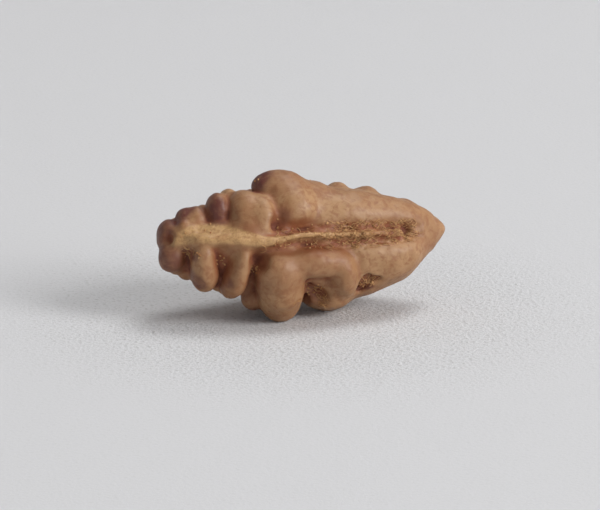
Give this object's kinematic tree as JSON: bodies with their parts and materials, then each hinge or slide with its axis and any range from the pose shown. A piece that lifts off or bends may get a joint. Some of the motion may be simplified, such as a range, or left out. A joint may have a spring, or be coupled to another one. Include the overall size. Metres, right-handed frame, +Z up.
{
  "type": "rudraksha stone",
  "caption": "Undrilled rudraksha bead: a pointed, elongated fruit stone with knobbly lobes at the stem end and seams along it, resting on its side.",
  "frame": {"origin": "on the surface the stone lies on, under the middle of its box", "axes": "+X along the stone from the stem scar to the point, -Y towards the front, +Z up"},
  "size_m": [0.0208, 0.0098, 0.0103],
  "materials": {
    "stone": "dry close-grained fruit stone, light brown, satin on the lobes and fibrous in the seams"
  },
  "bodies": {
    "root": {"stone": "stone"}
  },
  "joints": []
}
